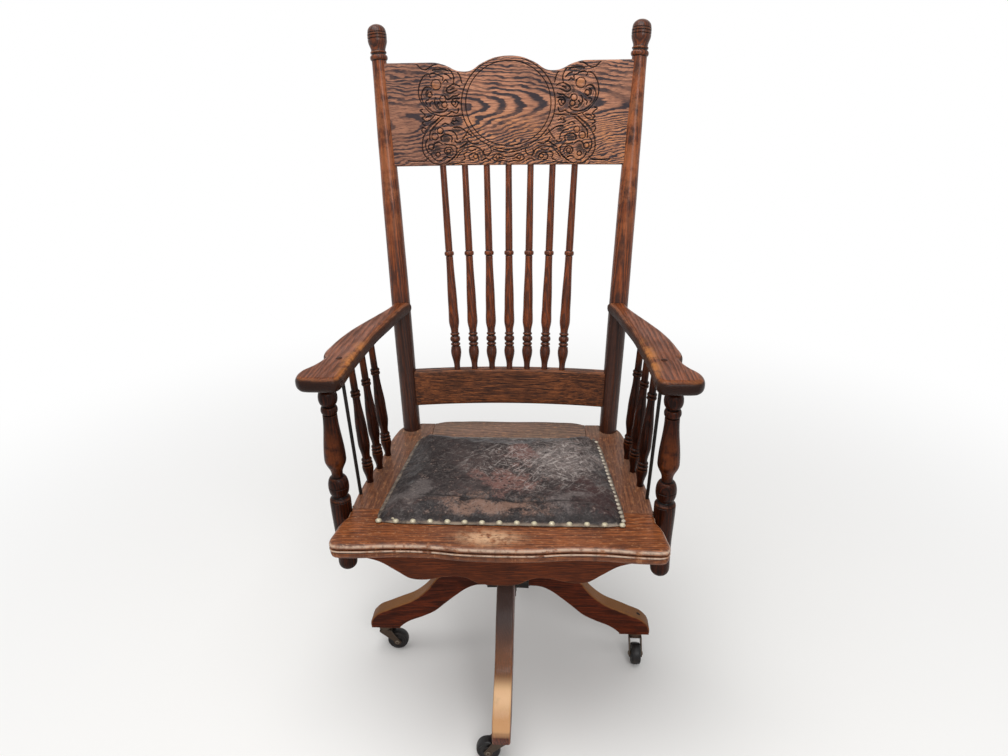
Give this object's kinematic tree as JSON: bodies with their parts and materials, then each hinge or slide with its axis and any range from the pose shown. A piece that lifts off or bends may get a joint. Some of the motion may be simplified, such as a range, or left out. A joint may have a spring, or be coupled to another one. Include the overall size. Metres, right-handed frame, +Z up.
{
  "type": "bankers swivel chair",
  "caption": "High-back oak swivel armchair with turned spindles, pressed crest rail, leather seat pad, tilting and height-adjusting iron and a caster base.",
  "frame": {"origin": "on the floor under the centre of the chair's box", "axes": "+Z up, the seat's front faces -Y, +X to the right as seen from the front; the swivel axis stands 4.828 mm in front of the origin, at y -0.004828 m"},
  "size_m": [0.622, 0.5867, 1.2229],
  "materials": {
    "red_oak": "worn shellac over dark red-brown oak",
    "crest_oak": "brown oak with bold dark grain",
    "seat_oak": "dry worn brown oak",
    "hide": "worn and cracked hide",
    "leg_oak": "red-brown oak, dusty on top",
    "black_iron": "black japanned iron",
    "brown_iron": "dull brown aged iron",
    "spring_steel": "dull spring steel",
    "wheel_black": "matt black composition"
  },
  "bodies": {
    "base": {"hub": "black_iron", "hub_sleeve": "brown_iron", "leg_right": "leg_oak", "leg_rear": "leg_oak", "leg_left": "leg_oak", "leg_front": "leg_oak"},
    "nut": {"height_nut": "black_iron"},
    "lift": {"lift_screw": "brown_iron", "tilt_yoke": "black_iron", "tilt_spring_left": "spring_steel", "tilt_spring_right": "spring_steel"},
    "tension": {"tension_bolt": "brown_iron", "spring_plate": "black_iron", "tension_knob": "black_iron"},
    "upper": {"back_post_left": "red_oak", "back_post_right": "red_oak", "arm_left": "red_oak", "arm_right": "red_oak", "arm_post_left": "red_oak", "arm_post_right": "red_oak", "back_spindle_1": "red_oak", "back_spindle_2": "red_oak", "back_spindle_3": "red_oak", "back_spindle_4": "red_oak", "back_spindle_5": "red_oak", "back_spindle_6": "red_oak", "back_spindle_7": "red_oak", "arm_spindle_left_1": "red_oak", "arm_spindle_left_2": "red_oak", "arm_spindle_left_3": "red_oak", "arm_spindle_right_1": "red_oak", "arm_spindle_right_2": "red_oak", "arm_spindle_right_3": "red_oak", "crest_rail": "crest_oak", "lower_back_rail": "crest_oak", "seat_front_rail": "seat_oak", "seat_left_rail": "seat_oak", "seat_right_rail": "seat_oak", "seat_back_rail": "seat_oak", "seat_panel": "seat_oak", "seat_apron": "seat_oak", "seat_rear_cleat": "seat_oak", "seat_leather": "hide", "seat_spider": "black_iron", "tilt_axle": "brown_iron", "arm_rod_left": "black_iron", "arm_rod_right": "black_iron"},
    "caster_right": {"caster_fork_right": "brown_iron", "caster_axle_right": "brown_iron"},
    "wheel_right": {"caster_wheel_right": "wheel_black"},
    "caster_rear": {"caster_fork_rear": "brown_iron", "caster_axle_rear": "brown_iron"},
    "wheel_rear": {"caster_wheel_rear": "wheel_black"},
    "caster_left": {"caster_fork_left": "brown_iron", "caster_axle_left": "brown_iron"},
    "wheel_left": {"caster_wheel_left": "wheel_black"},
    "caster_front": {"caster_fork_front": "brown_iron", "caster_axle_front": "brown_iron"},
    "wheel_front": {"caster_wheel_front": "wheel_black"}
  },
  "joints": [
    {"name": "swivel", "type": "hinge", "parent": "base", "child": "nut", "pos_m": [0, -0.00483, 0.2826], "axis": [0, 0, 1], "continuous": true},
    {"name": "seat_height", "type": "slide", "parent": "nut", "child": "lift", "axis": [0, 0, 1], "range_m": [0, 0.05]},
    {"name": "tilt", "type": "hinge", "parent": "lift", "child": "upper", "pos_m": [0, -0.00483, 0.402], "axis": [-1, 0, 0], "range_deg": [0, 15], "stiffness_Nm_per_rad": 110, "springref_deg": -9.17},
    {"name": "tension_rise", "type": "slide", "parent": "lift", "child": "tension", "axis": [0, 0, 1], "range_m": [0, 0.023], "deforming": ["tilt_spring_left", "tilt_spring_right"]},
    {"name": "caster_swivel_right", "type": "hinge", "parent": "base", "child": "caster_right", "pos_m": [0.264, -0.00483, 0.058], "axis": [0, 0, 1], "continuous": true},
    {"name": "wheel_roll_right", "type": "hinge", "parent": "caster_right", "child": "wheel_right", "pos_m": [0.264, -0.02983, 0.02222], "axis": [1, 0, 0], "continuous": true},
    {"name": "caster_swivel_rear", "type": "hinge", "parent": "base", "child": "caster_rear", "pos_m": [0, 0.25917, 0.058], "axis": [0, 0, 1], "continuous": true},
    {"name": "wheel_roll_rear", "type": "hinge", "parent": "caster_rear", "child": "wheel_rear", "pos_m": [0.02415, 0.26564, 0.02222], "axis": [-0.2588, 0.9659, 0], "continuous": true},
    {"name": "caster_swivel_left", "type": "hinge", "parent": "base", "child": "caster_left", "pos_m": [-0.264, -0.00483, 0.058], "axis": [0, 0, 1], "continuous": true},
    {"name": "wheel_roll_left", "type": "hinge", "parent": "caster_left", "child": "wheel_left", "pos_m": [-0.239, -0.00483, 0.02222], "axis": [0, 1, 0], "continuous": true},
    {"name": "caster_swivel_front", "type": "hinge", "parent": "base", "child": "caster_front", "pos_m": [0, -0.26883, 0.058], "axis": [0, 0, 1], "continuous": true},
    {"name": "wheel_roll_front", "type": "hinge", "parent": "caster_front", "child": "wheel_front", "pos_m": [-0.025, -0.26883, 0.02222], "axis": [0, -1, 0], "continuous": true}
  ],
  "couplings": [
    {"joint": "tension_rise", "follows": "tilt", "m_per_rad": 0.086998}
  ]
}
